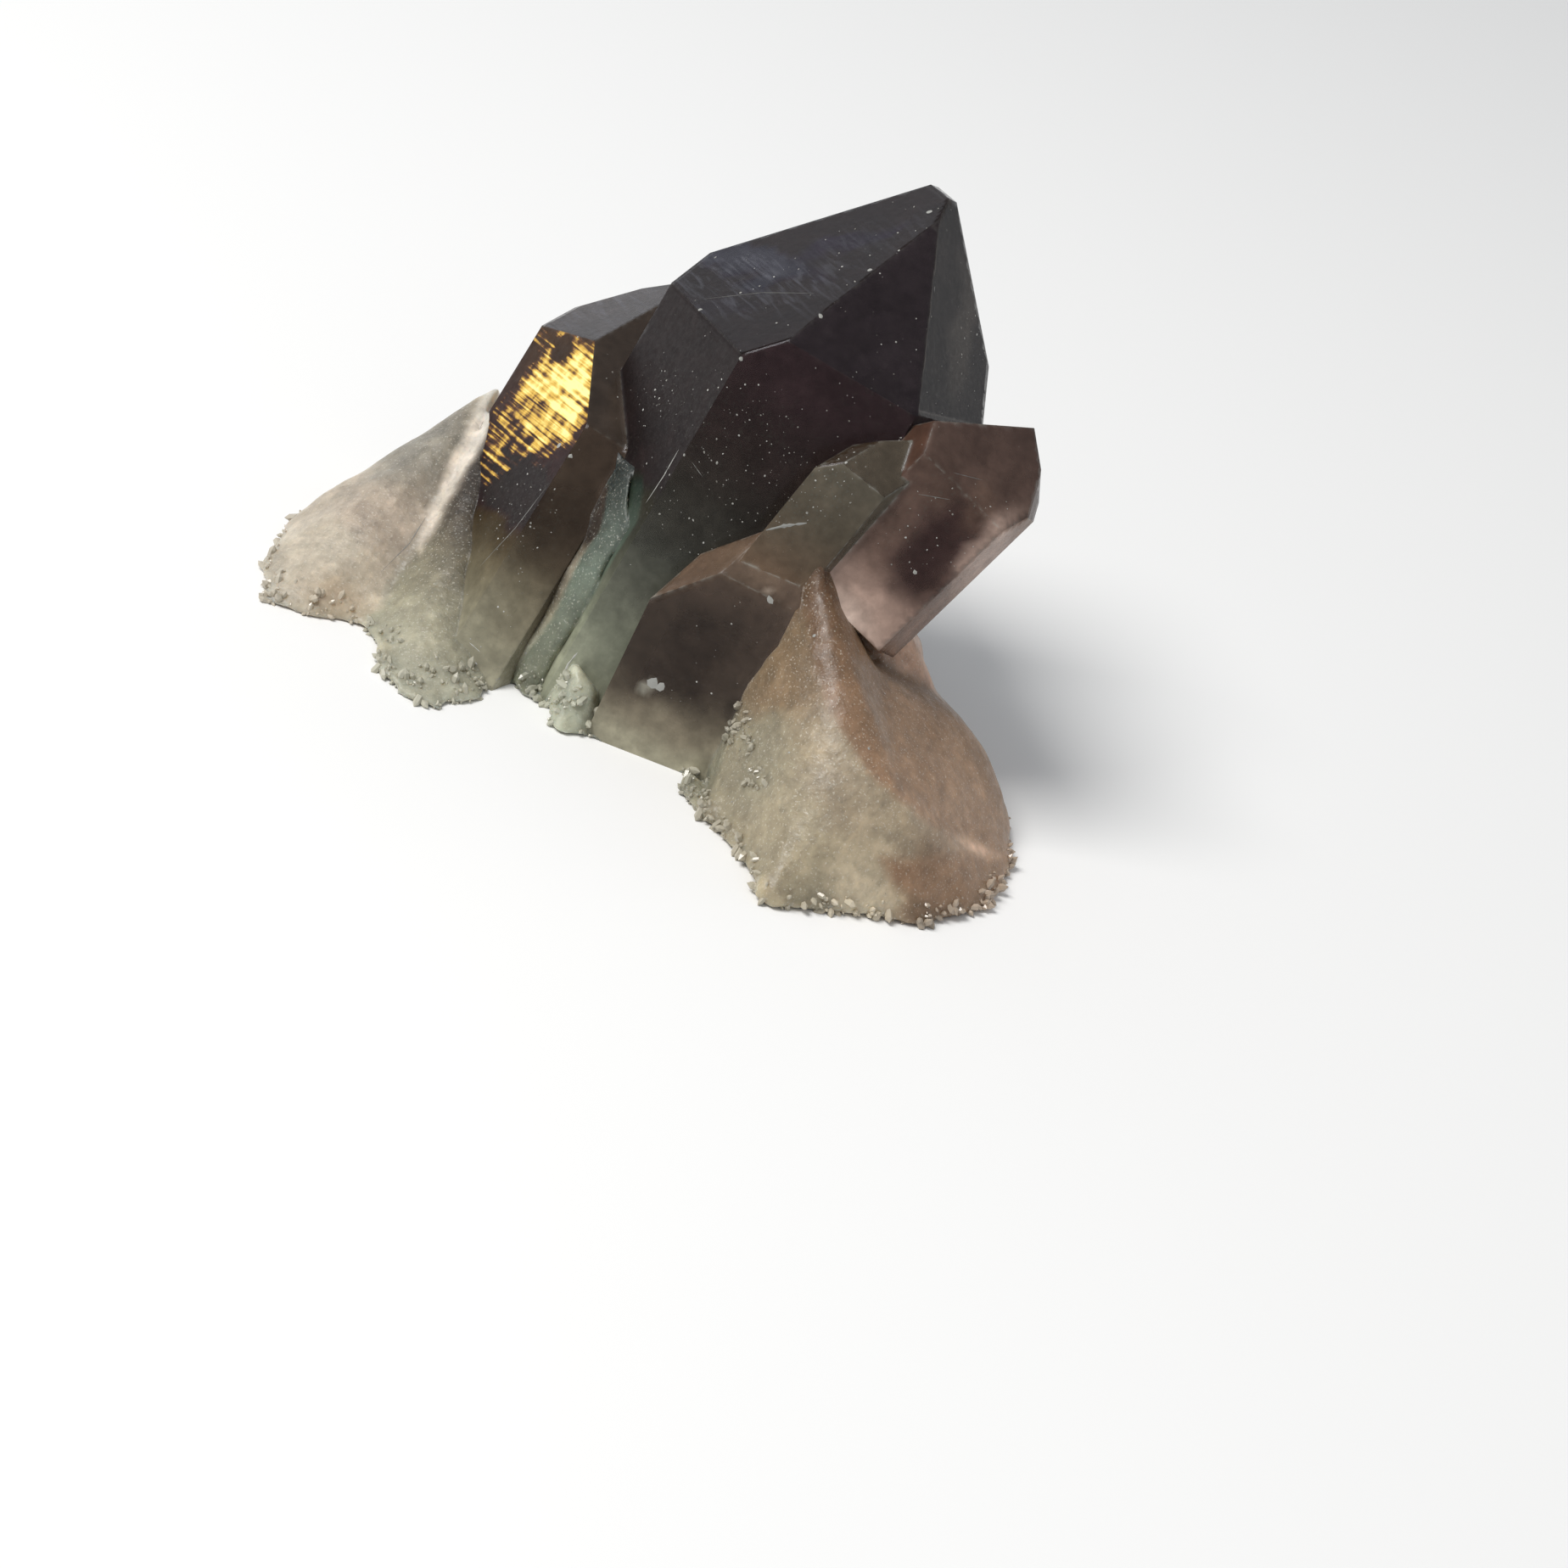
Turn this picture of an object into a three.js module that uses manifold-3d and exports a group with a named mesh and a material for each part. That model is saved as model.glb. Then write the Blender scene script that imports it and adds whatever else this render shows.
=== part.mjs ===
// Smoky quartz cluster: one natural piece of quartz, modelled as one closed solid.
// A big smoky point, a second one beside it and smaller ones around them stand in a milky, broken root.
// Quartz grows as six-sided prisms that close in six slanting rhomb faces, and its angles never change:
// only how far each face stands from the middle does. So each crystal here is a set of flat planes at
// quartz's own angles, and the hull of their corners. The root is made of roughened hulls.
// Units are millimetres. The cluster stands on its flat cut root, +Z up.
import * as THREE from "three";
import { ConvexGeometry } from "three/addons/geometries/ConvexGeometry.js";
import { TessellateModifier } from "three/addons/modifiers/TessellateModifier.js";
import { mergeVertices } from "three/addons/utils/BufferGeometryUtils.js";
import Module from "manifold-3d";

const wasm = await Module();
wasm.setup();

const DEGREE = Math.PI / 180;

// Angle between quartz's long axis and the normal of a rhomb face of its tip
const RHOMB_TILT = 51.8 * DEGREE;

// The cluster was measured tipped towards the eye: RIGHT, UP and NEAR are the eye's own directions.
// Places below are [right, up, near] in millimetres, and stand() turns them upright.
const EYE_HEIGHT = 30 * DEGREE;
const EYE_ROLL = 20 * DEGREE;
const RIGHT = new THREE.Vector3(Math.cos(EYE_ROLL), -Math.sin(EYE_ROLL), 0);
const BACK = new THREE.Vector3(
  Math.sin(EYE_HEIGHT) * Math.sin(EYE_ROLL),
  Math.sin(EYE_HEIGHT) * Math.cos(EYE_ROLL),
  -Math.cos(EYE_HEIGHT),
);
const UPRIGHT = new THREE.Vector3().crossVectors(RIGHT, BACK);
// Height of the flat cut, along UPRIGHT
const CUT_HEIGHT = 5;
// Middle of the foot, so that the origin lies under the middle of the cluster
const FOOT_MIDDLE = [-23.1, 2.7];

// Longest triangle edge on the broken root. Its surface swells by SWELL over some WAVE millimetres,
// and each corner of it steps aside by up to ROUGHNESS.
const GRAIN = 4.6;
const WAVE = 11;
const SWELL = 0.3;
const ROUGHNESS = 0.15;
// Each lump runs this far on below its corners, so that the cut leaves it a flat foot
const SKIRT = 3;

// Edges shorter than this are closed up
const SLIVER = 0.03;

// Small points along the root's rim: one in each step, of half-widths between these two
const RIM_STEP = 2.3;
const RIM_POINT_MIN = 0.7;
const RIM_POINT_MAX = 1.7;

// rise: the long axis's angle above RIGHT, as seen. near: its tilt to the eye. spin: turn about itself.
// sides: the six prism faces' distances from the axis through middle, from the left one round by the front.
// tips: how far beyond middle the six rhomb faces cross the axis. root: how far the crystal runs back.
// blunt: where a tip is broken off flat.
const CRYSTALS = {
  main: {
    middle: [-2.9, 34.1, 0], rise: 58.5, near: 15, spin: 216,
    sides: [23.9, 19, 16.2, 15.2, 19, 27.2], tips: [55.1, 53.6, 50.3, 56.4, 80.8, 65],
    root: 60, blunt: 54.4,
  },
  gilt: {
    middle: [-36.6, 36.6, -2], rise: 59, near: -4, spin: 214,
    sides: [6.8, 14, 14, 14, 14, 16.5], tips: [35.7, 32.9, 48.3, 54.7, 57.9, 55.6], root: 60,
  },
  right: {
    middle: [18.2, 33.3, 14], rise: 44, near: 10, spin: 222,
    sides: [14, 10.9, 9.9, 4.4, 11, 10], tips: [36, 24.1, 26.3, 21.5, 38.7, 21.8], root: 13,
  },
  front: {
    middle: [-14.2, 14.2, 12], rise: 63, near: 21, spin: 210,
    sides: [11.9, 7.6, 12.4, 10, 12, 3.4], tips: [25.4, 28.8, 35.5, 61.1, 61.1, 22.8], root: 40,
  },
  dusty: {
    middle: [4.1, 32.7, 19.5], rise: 50, near: 15, spin: 216,
    sides: [16.3, 7, 6, 6, 8, 2.4], tips: [21.5, 21.2, 29.1, 32.3, 32.3, 17.5], root: 14,
  },
  back: {
    middle: [-6, 30, -22], rise: 62, near: 8, spin: 200,
    sides: [9, 8, 10, 8, 7, 11], tips: [29, 38, 40, 34, 27, 31], root: 60,
  },
  backLow: {
    middle: [-24, 30, -20], rise: 66, near: 2, spin: 230,
    sides: [7, 8, 8, 7, 6, 8], tips: [20, 26, 30, 27, 21, 19], root: 60,
  },
};

// Corners of the lumps that the crystals stand in and that fill the seams between them
const LUMPS = {
  leftPlate: [
    [-75.7, 27.6, 8], [-72.9, 24.5, 13], [-67.5, 21.5, 14], [-56.8, 21.5, 8.7], [-70.3, 39, -6],
    [-63.9, 42.3, -8], [-54.5, 46.5, -11], [-48.5, 52.4, -13], [-41, 59, -15], [-40.7, 55.8, -24],
    [-62.4, 40.9, -26], [-73.3, 35, -14],
  ],
  giltFoot: [
    [-42.3, 54.6, -12], [-47.8, 42.7, -6], [-53.3, 31.4, 0], [-57.5, 21.1, 9.8], [-53.8, 15.5, 16.6],
    [-52.2, 12.2, 21.1], [-47.5, 10.1, 21.7], [-43.8, 10.5, 18.8], [-41.5, 12.4, 14.5], [-44.9, 21.5, 12.4],
    [-56.7, 35.4, -20], [-32.9, 28, -20],
  ],
  seam: [
    [-23.8, 46.4, 9], [-20.5, 44.2, 14.5], [-21.1, 36.1, 17.3], [-26, 27.2, 16], [-31.4, 19.1, 13.5],
    [-34.7, 13.1, 12], [-38.5, 13.2, 10.5], [-36.6, 13.7, -10], [-25, 44.6, -10],
  ],
  knob: [
    [-32.2, 11.3, 10.7], [-31.2, 6.7, 17.5], [-28.3, 6, 16.9], [-25.9, 7.2, 13.6], [-25.4, 12.6, 17],
    [-28.5, 17.3, 16.5], [-31.7, 13.8, 14], [-31.7, 13.1, 0], [-26.9, 13.1, 0],
  ],
  lightMass: [
    [4.7, 30.7, 25], [2, 22.9, 26], [-2.2, 18.8, 22], [-7.3, 8.5, 20], [-10.9, -0.1, 16.6],
    [-10.3, -4.3, 23.4], [-5, -8.6, 29], [-2.1, -15.5, 38], [4, -15.6, 35], [9.4, -15.9, 32], [7.4, 6.9, 35],
    [15.1, -2.3, 36], [17.6, -18.5, 31], [9.3, 21.8, 20], [13.4, 14.3, 18], [9.3, 15.2, -10],
    [24, -9.3, -10], [-10.3, 15.2, -10],
  ],
  brownMass: [
    [7.5, 16.4, 26], [11.1, 15.9, 20], [15.8, 14.1, 16], [20.5, 13.1, 8], [24.3, 10.5, 8],
    [29.3, 3.4, 7], [30.4, -4.9, 6], [32.7, -9.3, 5], [31.2, -14.1, 15], [27.7, -17.7, 23],
    [17.6, -18.7, 31], [15.1, -2.3, 36], [7.4, 6.9, 35], [14.3, 16.5, -14], [25.5, 7.9, -16],
    [31.2, -4.4, -8],
  ],
  paleLobe: [
    [8.2, 24.3, 16], [12.3, 23.2, 16], [18, 22, 10], [19.2, 19.1, 8], [20.9, 12.9, 6],
    [13.5, 14.5, 14], [7.7, 16.7, 16], [12.9, 24.9, -8], [19.1, 21.3, -10], [20.4, 12.8, -12],
    [8.1, 22.5, -10],
  ],
  backFoot: [
    [-50.1, 35, -17.3], [-44.1, 39.7, -28.5], [-26.3, 35.9, -32.9], [-7.7, 28.6, -32], [11, 18.6, -26.8],
    [19.1, 8.7, -15.6], [11.8, 6.1, -6.9], [-41.2, 41.9, -11.8], [-32.4, 42.7, -22.3], [-17.9, 41.5, -18.9],
    [-0.1, 31.9, -21.8], [13, 24.1, -13], [16.8, 13.9, -8.6],
  ],
};

// The rim where small points grow, as runs of places on the cut
const RIMS = [
  [[-57.5, 21.1, 9.8], [-53.8, 15.5, 16.6], [-52.2, 12.2, 21.1], [-47.5, 10.1, 21.7], [-41.5, 12.4, 14.5]],
  [[-36.2, 12.4, 11.2], [-32.2, 11.3, 10.7], [-31.2, 6.7, 17.5], [-25.9, 7.2, 13.6], [-18, 4, 14.2]],
  [
    [-13.2, 1.4, 15.5], [-10.7, -4.7, 24], [-5, -8.6, 29], [-2.1, -15.5, 38], [9.4, -15.9, 32],
    [17.6, -18.7, 31],
  ],
];

function turn(seen) {
  return new THREE.Vector3(seen.dot(RIGHT), seen.dot(BACK), seen.dot(UPRIGHT));
}

function stand(place) {
  return turn(new THREE.Vector3(...place)).sub(new THREE.Vector3(0, 0, CUT_HEIGHT));
}

// A number between 0 and 1 that depends only on three whole numbers
function chance(a, b, c) {
  let h = Math.imul(a, 374761393) + Math.imul(b, 668265263) + Math.imul(c, 2147483647);
  h = Math.imul(h ^ (h >>> 13), 1274126177);
  h = Math.imul(h ^ (h >>> 16), 2246822519);
  return ((h ^ (h >>> 15)) >>> 0) / 4294967296;
}

function crystalPlanes({ middle, rise, near, spin, sides, tips, root, blunt }) {
  const r = rise * DEGREE;
  const n = near * DEGREE;
  const axis = new THREE.Vector3(Math.cos(r) * Math.cos(n), Math.sin(r) * Math.cos(n), Math.sin(n));
  const first = new THREE.Vector3().crossVectors(axis, new THREE.Vector3(0, 0, 1)).normalize();
  const centre = stand(middle);
  const along = turn(axis);
  const planes = [];
  for (let k = 0; k < 6; k++) {
    const side = turn(first.clone().applyAxisAngle(axis, (spin + 60 * k) * DEGREE));
    planes.push({ normal: side, reach: side.dot(centre) + sides[k] });
    const rhomb = side.clone().multiplyScalar(Math.sin(RHOMB_TILT));
    rhomb.addScaledVector(along, Math.cos(RHOMB_TILT));
    planes.push({ normal: rhomb, reach: rhomb.dot(centre) + tips[k] * Math.cos(RHOMB_TILT) });
  }
  planes.push({ normal: along.clone().negate(), reach: root - along.dot(centre) });
  if (blunt) planes.push({ normal: along, reach: along.dot(centre) + blunt });
  return planes;
}

// The corners of a convex body are where three of its planes meet inside all the others
function hullOf(planes) {
  const corners = [];
  for (let i = 0; i < planes.length; i++) {
    for (let j = i + 1; j < planes.length; j++) {
      for (let k = j + 1; k < planes.length; k++) {
        const [a, b, c] = [planes[i], planes[j], planes[k]];
        const across = new THREE.Vector3().crossVectors(b.normal, c.normal);
        const volume = a.normal.dot(across);
        if (Math.abs(volume) < 1e-6) continue;
        const corner = across.multiplyScalar(a.reach)
          .addScaledVector(new THREE.Vector3().crossVectors(c.normal, a.normal), b.reach)
          .addScaledVector(new THREE.Vector3().crossVectors(a.normal, b.normal), c.reach)
          .divideScalar(volume);
        if (planes.every((p) => p.normal.dot(corner) <= p.reach + 1e-6)) corners.push(corner);
      }
    }
  }
  return new ConvexGeometry(corners);
}

function solidOf(geometry) {
  geometry.deleteAttribute("normal");
  geometry.deleteAttribute("uv");
  const merged = mergeVertices(geometry, 1e-4);
  return new wasm.Manifold(new wasm.Mesh({
    numProp: 3,
    vertProperties: new Float32Array(merged.attributes.position.array),
    triVerts: new Uint32Array(merged.index.array),
  }));
}

// How a broken surface wanders at a place: a slow swell, and a random step that depends on the place only
function wander(p) {
  const [a, b, c] = [Math.round(p.x * 20), Math.round(p.y * 20), Math.round(p.z * 20)];
  const step = new THREE.Vector3(chance(a, b, c) - 0.5, chance(b, c, a) - 0.5, chance(c, a, b) - 0.5);
  const phase = (2 * Math.PI) / WAVE;
  const swell = new THREE.Vector3(
    Math.sin(phase * (p.y + 0.6 * p.z)),
    Math.sin(phase * (p.z + 0.7 * p.x) + 1),
    Math.sin(phase * (p.x - 0.8 * p.y) + 2),
  );
  return step.multiplyScalar(2 * ROUGHNESS).addScaledVector(swell, SWELL);
}

function lumpOf(corners) {
  const places = corners.map(stand);
  const lowered = places.map((p) => p.clone().setZ(p.z - SKIRT));
  const hull = new ConvexGeometry([...places, ...lowered]);
  hull.deleteAttribute("normal");
  const fine = mergeVertices(new TessellateModifier(GRAIN, 14).modify(hull), 1e-3);
  const position = fine.attributes.position;
  for (let i = 0; i < position.count; i++) {
    const place = new THREE.Vector3().fromBufferAttribute(position, i);
    place.add(wander(place));
    position.setXYZ(i, place.x, place.y, place.z);
  }
  return solidOf(fine);
}

// Small points side by side along one run of the rim, each turned and sized by chance
function rimPoints(rim, number) {
  const run = new THREE.CurvePath();
  for (let i = 1; i < rim.length; i++) {
    run.add(new THREE.LineCurve3(new THREE.Vector3(...rim[i - 1]), new THREE.Vector3(...rim[i])));
  }
  const count = Math.round(run.getLength() / RIM_STEP);
  const solids = [];
  for (let i = 0; i <= count; i++) {
    const place = run.getPointAt(i / count);
    const size = RIM_POINT_MIN + (RIM_POINT_MAX - RIM_POINT_MIN) * chance(i, number, 1);
    solids.push(solidOf(hullOf(crystalPlanes({
      middle: place.toArray(),
      rise: -70 + 100 * (chance(i, number, 2) - 0.5),
      near: 20 + 50 * (chance(i, number, 3) - 0.5),
      spin: 60 * chance(i, number, 4),
      sides: [1, 0.8, 1, 0.9, 1.1, 0.8].map((share) => share * size),
      tips: [1.6, 2.2, 1.7, 2.3, 1.6, 2.1].map((share) => share * size),
      root: 2 * size,
    }))));
  }
  return solids;
}

function geometryOf(solid) {
  const mesh = solid.getMesh();
  const geometry = new THREE.BufferGeometry();
  geometry.setAttribute("position", new THREE.BufferAttribute(new Float32Array(mesh.vertProperties), 3));
  geometry.setIndex(new THREE.BufferAttribute(new Uint32Array(mesh.triVerts), 1));
  return geometry;
}

const solids = [
  ...Object.values(CRYSTALS).map((crystal) => solidOf(hullOf(crystalPlanes(crystal)))),
  ...Object.values(LUMPS).map(lumpOf),
  ...RIMS.flatMap(rimPoints),
];
const below = solidOf(new THREE.BoxGeometry(400, 400, 200).translate(0, 0, -100));
// Where rough lumps meet, slivers of air can be shut in: the biggest shell is the cluster without them
const joined = wasm.Manifold.union(solids).subtract(below).simplify(SLIVER);
const shells = solidOf(geometryOf(joined)).decompose();
const cluster = shells.reduce((big, shell) => (shell.volume() > big.volume() ? shell : big));

const quartz = new THREE.MeshStandardMaterial({ color: 0x4a4340, roughness: 0.12, metalness: 0 });
const mesh = new THREE.Mesh(geometryOf(cluster), quartz);
mesh.geometry.translate(-FOOT_MIDDLE[0], -FOOT_MIDDLE[1], 0);
mesh.name = "smoky_quartz_cluster";
const group = new THREE.Group();
group.add(mesh);
export default group;
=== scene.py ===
import math

import bmesh
import bpy
import numpy as np
from mathutils import Matrix, Vector, noise
from mathutils.bvhtree import BVHTree


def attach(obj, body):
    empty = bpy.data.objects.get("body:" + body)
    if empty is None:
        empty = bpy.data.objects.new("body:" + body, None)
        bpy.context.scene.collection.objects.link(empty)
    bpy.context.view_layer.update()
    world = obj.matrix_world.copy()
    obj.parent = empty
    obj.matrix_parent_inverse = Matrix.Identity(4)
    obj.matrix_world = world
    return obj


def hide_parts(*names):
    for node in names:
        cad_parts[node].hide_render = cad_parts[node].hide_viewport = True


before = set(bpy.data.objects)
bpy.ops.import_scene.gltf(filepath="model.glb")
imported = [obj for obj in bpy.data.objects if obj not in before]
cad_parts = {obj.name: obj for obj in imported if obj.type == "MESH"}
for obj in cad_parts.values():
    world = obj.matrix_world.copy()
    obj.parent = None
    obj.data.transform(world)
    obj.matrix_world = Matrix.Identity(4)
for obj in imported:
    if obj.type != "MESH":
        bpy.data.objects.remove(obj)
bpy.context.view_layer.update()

# Camera. The photograph looks down on the cluster from 30 degrees and holds it tipped 20 degrees
# sideways. Places below are measured as the eye sees them, [right, up, near] in millimetres from
# the point that the camera looks at, and are turned into the model's own frame.
MM = 0.001
EYE_HEIGHT = math.radians(30)
EYE_ROLL = math.radians(20)
EYE_DISTANCE = 500
PICTURE_WIDTH = 221.76
SENSOR_WIDTH = 36
LOOKED_AT = np.array([23.1, -2.7, -5.0])
EYE_RIGHT = np.array([
    math.cos(EYE_ROLL),
    math.sin(EYE_HEIGHT) * math.sin(EYE_ROLL),
    math.cos(EYE_HEIGHT) * math.sin(EYE_ROLL),
])
EYE_NEAR = np.array([0, -math.cos(EYE_HEIGHT), math.sin(EYE_HEIGHT)])
EYE_UP = np.cross(EYE_NEAR, EYE_RIGHT)
EYE = np.array([EYE_RIGHT, EYE_UP, EYE_NEAR])


def seen(places):
    """Places in the model's frame, in millimetres, as [right, up, near]."""
    return (np.asarray(places) - LOOKED_AT) @ EYE.T


def in_frame(places):
    """Places measured as [right, up, near], in the model's frame, in millimetres."""
    return np.asarray(places) @ EYE + LOOKED_AT


camera = bpy.data.objects.new("camera", bpy.data.cameras.new("camera"))
bpy.context.collection.objects.link(camera)
camera.data.sensor_width = SENSOR_WIDTH
camera.data.lens = SENSOR_WIDTH * EYE_DISTANCE / PICTURE_WIDTH
eye_place = in_frame([0, 0, EYE_DISTANCE]) * MM
camera.matrix_world = Matrix([
    [EYE_RIGHT[i], EYE_UP[i], EYE_NEAR[i], eye_place[i]] for i in range(3)
] + [[0, 0, 0, 1]])
bpy.context.scene.camera = camera

# Floor: a wide sheet of plain white card that the cluster stands on. It ends in front of the
# camera's view, so that the crystals' front faces mirror the dim room and stay dark.
FLOOR_WIDTH = 5
FLOOR_FRONT = -0.6
CARD_WHITE = (0.93, 0.93, 0.925, 1)


def new_material(name):
    """An empty material with nodes: (material, its tree, its Principled shader)."""
    material = bpy.data.materials.new(name)
    material.use_nodes = True
    return material, material.node_tree, material.node_tree.nodes["Principled BSDF"]


def sheet_of_card():
    half = FLOOR_WIDTH / 2
    mesh = bpy.data.meshes.new("floor")
    corners = [(-half, FLOOR_FRONT, 0), (half, FLOOR_FRONT, 0), (half, half, 0), (-half, half, 0)]
    mesh.from_pydata(corners, [], [(0, 1, 2, 3)])
    material, tree, shader = new_material("white card")
    shader.inputs["Base Color"].default_value = CARD_WHITE
    shader.inputs["Roughness"].default_value = 0.9
    mesh.materials.append(material)
    return bpy.data.objects.new("floor", mesh)


floor = sheet_of_card()
bpy.context.collection.objects.link(floor)

# Light: a dim cool room, a key light high on the left, and two big soft boxes low behind the
# cluster, which its upper left and right faces mirror. Azimuth 0 is the camera's side and 90 the
# right, in degrees, and radiance is how bright a box looks.
ROOM_LIGHT = 0.38
ROOM_COLOUR = (0.93, 0.96, 1, 1)


def soft_box(name, azimuth, elevation, distance, width, radiance, colour):
    """A square light that faces the cluster's foot. Distance and width are in metres."""
    light = bpy.data.lights.new(name, "AREA")
    light.size = width
    light.energy = radiance * math.pi * width ** 2
    light.color = colour
    box = bpy.data.objects.new(name, light)
    turn, rise = math.radians(azimuth), math.radians(elevation)
    box.location = distance * Vector((
        math.cos(rise) * math.sin(turn),
        -math.cos(rise) * math.cos(turn),
        math.sin(rise),
    ))
    box.rotation_euler = box.location.to_track_quat("Z", "Y").to_euler()
    bpy.context.collection.objects.link(box)


world = bpy.data.worlds.new("room")
world.use_nodes = True
world.node_tree.nodes["Background"].inputs["Color"].default_value = ROOM_COLOUR
world.node_tree.nodes["Background"].inputs["Strength"].default_value = ROOM_LIGHT
bpy.context.scene.world = world
bpy.context.scene.view_settings.view_transform = "Standard"
soft_box("key_box", -62, 56, 1.2, 0.55, 13, (1, 0.985, 0.96))
soft_box("left_back_box", -142, 24, 1.3, 0.9, 0.33, (0.9, 0.94, 1))
soft_box("right_back_box", 118, 16, 1.3, 0.7, 0.8, (1, 0.95, 0.88))

# The cluster: smoky quartz crystals grown together on a milky, broken root, one natural piece.
# The crystals' faces stay flat and sharp as the model has them, in a finer mesh. The root's
# rough surface is made finer too, rounded a little and broken up by noise.
FACE_GRAIN = 1.0
ROOT_GRAIN = 0.8
LONGEST_EDGE = 1.4
FINER_PASSES = 8
SMOOTHINGS = 24
SHARP_ANGLE = math.radians(32)
# The smallest flat face in square millimetres, how flat it is, and how close corners are one
SMALLEST_FLAT_AREA = 4
PLANE_SLACK = 0.03
SAME_PLACE = 1e-6
# How far the root's surface wanders, and over what length, in millimetres
ROOT_WAVES = [(0.16, 6.5), (0.09, 2.4), (0.04, 1.0)]
# Each crystal: where its axis passes, how that rises, comes near and is turned about itself in
# degrees, and its half-width. The colours run along the axis, from root to tip: millimetres up the
# axis, then red, green and blue in the 0 to 255 values of a screen. Some faces have a colour of
# their own: M0 is the left prism face, M1 the front one and M2 the right one, and F0 to F2 lie
# above them.
CRYSTALS = {
    "main": dict(middle=(-2.9, 34.1, 0), rise=58.5, near=15, spin=216, half=20, colours=[
        (2, 150, 152, 133), (9, 126, 129, 113), (15, 100, 101, 90), (22, 70, 70, 64),
        (31, 52, 49, 45), (40, 50, 43, 41), (50, 52, 42, 43), (80, 50, 40, 43),
    ], faces={"F0": (38, 36, 42), "F1": (46, 41, 43), "F2": (52, 48, 46)}),
    "gilt": dict(middle=(-36.6, 36.6, -2), rise=59, near=-4, spin=214, half=14, colours=[
        (-16, 184, 181, 161), (-4, 146, 141, 121), (3, 112, 105, 88), (9, 74, 66, 55),
        (14, 58, 50, 43), (40, 74, 62, 54),
    ], faces={"F0": (66, 61, 60), "F1": (62, 54, 48)}),
    "right": dict(middle=(18.2, 33.3, 14), rise=44, near=10, spin=222, half=11, colours=[
        (22, 232, 212, 198), (28, 176, 151, 138), (36, 110, 90, 81), (46, 86, 70, 63),
        (60, 76, 62, 57),
    ], faces={"F0": (82, 70, 68), "M2": (128, 104, 90)}),
    "front": dict(middle=(-14.2, 14.2, 12), rise=63, near=21, spin=210, half=10, colours=[
        (-6, 170, 167, 148), (2, 156, 151, 131), (6, 130, 122, 105), (10, 88, 80, 69),
        (14, 66, 58, 51), (24, 70, 60, 53), (31, 100, 85, 74), (42, 112, 96, 84),
    ], faces={"F0": (104, 88, 76)}),
    "dusty": dict(middle=(4.1, 32.7, 19.5), rise=50, near=15, spin=216, half=8, colours=[
        (18, 114, 94, 77), (27, 98, 82, 68), (36, 88, 81, 70), (48, 92, 87, 77),
    ], faces={"F0": (66, 58, 51), "F1": (76, 69, 60)}),
    "back": dict(middle=(-6, 30, -22), rise=62, near=8, spin=200, half=9, colours=[
        (0, 124, 122, 105), (14, 80, 74, 66), (40, 52, 44, 42),
    ], faces={}),
    "backLow": dict(middle=(-24, 30, -20), rise=66, near=2, spin=230, half=8, colours=[
        (0, 132, 128, 110), (14, 92, 86, 76), (34, 64, 56, 50),
    ], faces={}),
}
# Angle between quartz's long axis and the normal of a face of its tip
RHOMB_TILT = math.radians(51.8)
# A flat face belongs to a crystal if it lies along one of the crystal's faces and near its axis
MOST_SLANT = math.radians(0.8)
FARTHEST = 1.7


def axis_of(crystal):
    """The direction of a crystal's axis, as seen."""
    rise, near = math.radians(crystal["rise"]), math.radians(crystal["near"])
    return np.array([
        math.cos(rise) * math.cos(near),
        math.sin(rise) * math.cos(near),
        math.sin(near),
    ])


def face_directions(crystal):
    """The outward directions of a crystal's faces and blunt tip, as seen, by their labels."""
    axis = axis_of(crystal)
    first = np.cross(axis, [0, 0, 1])
    first /= np.linalg.norm(first)
    second = np.cross(axis, first)
    directions = {"tip": axis}
    for k in range(6):
        turn = math.radians(crystal["spin"] + 60 * k)
        side = math.cos(turn) * first + math.sin(turn) * second
        directions["M%d" % k] = side
        directions["F%d" % k] = math.sin(RHOMB_TILT) * side + math.cos(RHOMB_TILT) * axis
    return directions


def from_axis(crystal, places):
    """How far places lie from a crystal's axis, as a share of its half-width."""
    axis = axis_of(crystal)
    steps = places - crystal["middle"]
    return np.linalg.norm(steps - np.outer(steps @ axis, axis), axis=1) / crystal["half"]


def plane_key(face):
    """The same for all faces in one plane."""
    reach = face.normal.dot(face.calc_center_median()) / MM
    return tuple(round(v, 2) for v in face.normal) + (round(reach, 1),)


def merged_copy(node):
    """The node's loose triangles as a bmesh with shared corners, and its flat faces' plane numbers."""
    mesh = bmesh.new()
    mesh.from_mesh(node.data)
    bmesh.ops.remove_doubles(mesh, verts=mesh.verts, dist=SAME_PLACE)
    mesh.normal_update()
    areas = {}
    for face in mesh.faces:
        key = plane_key(face)
        areas[key] = areas.get(key, 0) + face.calc_area() / MM ** 2
    flats = [key for key, area in sorted(areas.items()) if area > SMALLEST_FLAT_AREA]
    planes = {}
    for face in mesh.faces:
        key = plane_key(face)
        if key in flats and face.calc_area() > planes.get(key, (0,))[0]:
            planes[key] = (face.calc_area(), face.normal.copy(), face.normal.dot(face.verts[0].co))
    layer = mesh.faces.layers.int.new("flat")
    for face in mesh.faces:
        for i, key in enumerate(flats):
            _, normal, reach = planes[key]
            if all(abs(normal.dot(v.co) - reach) < PLANE_SLACK * MM for v in face.verts):
                face[layer] = i + 1
                break
    return mesh


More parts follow.
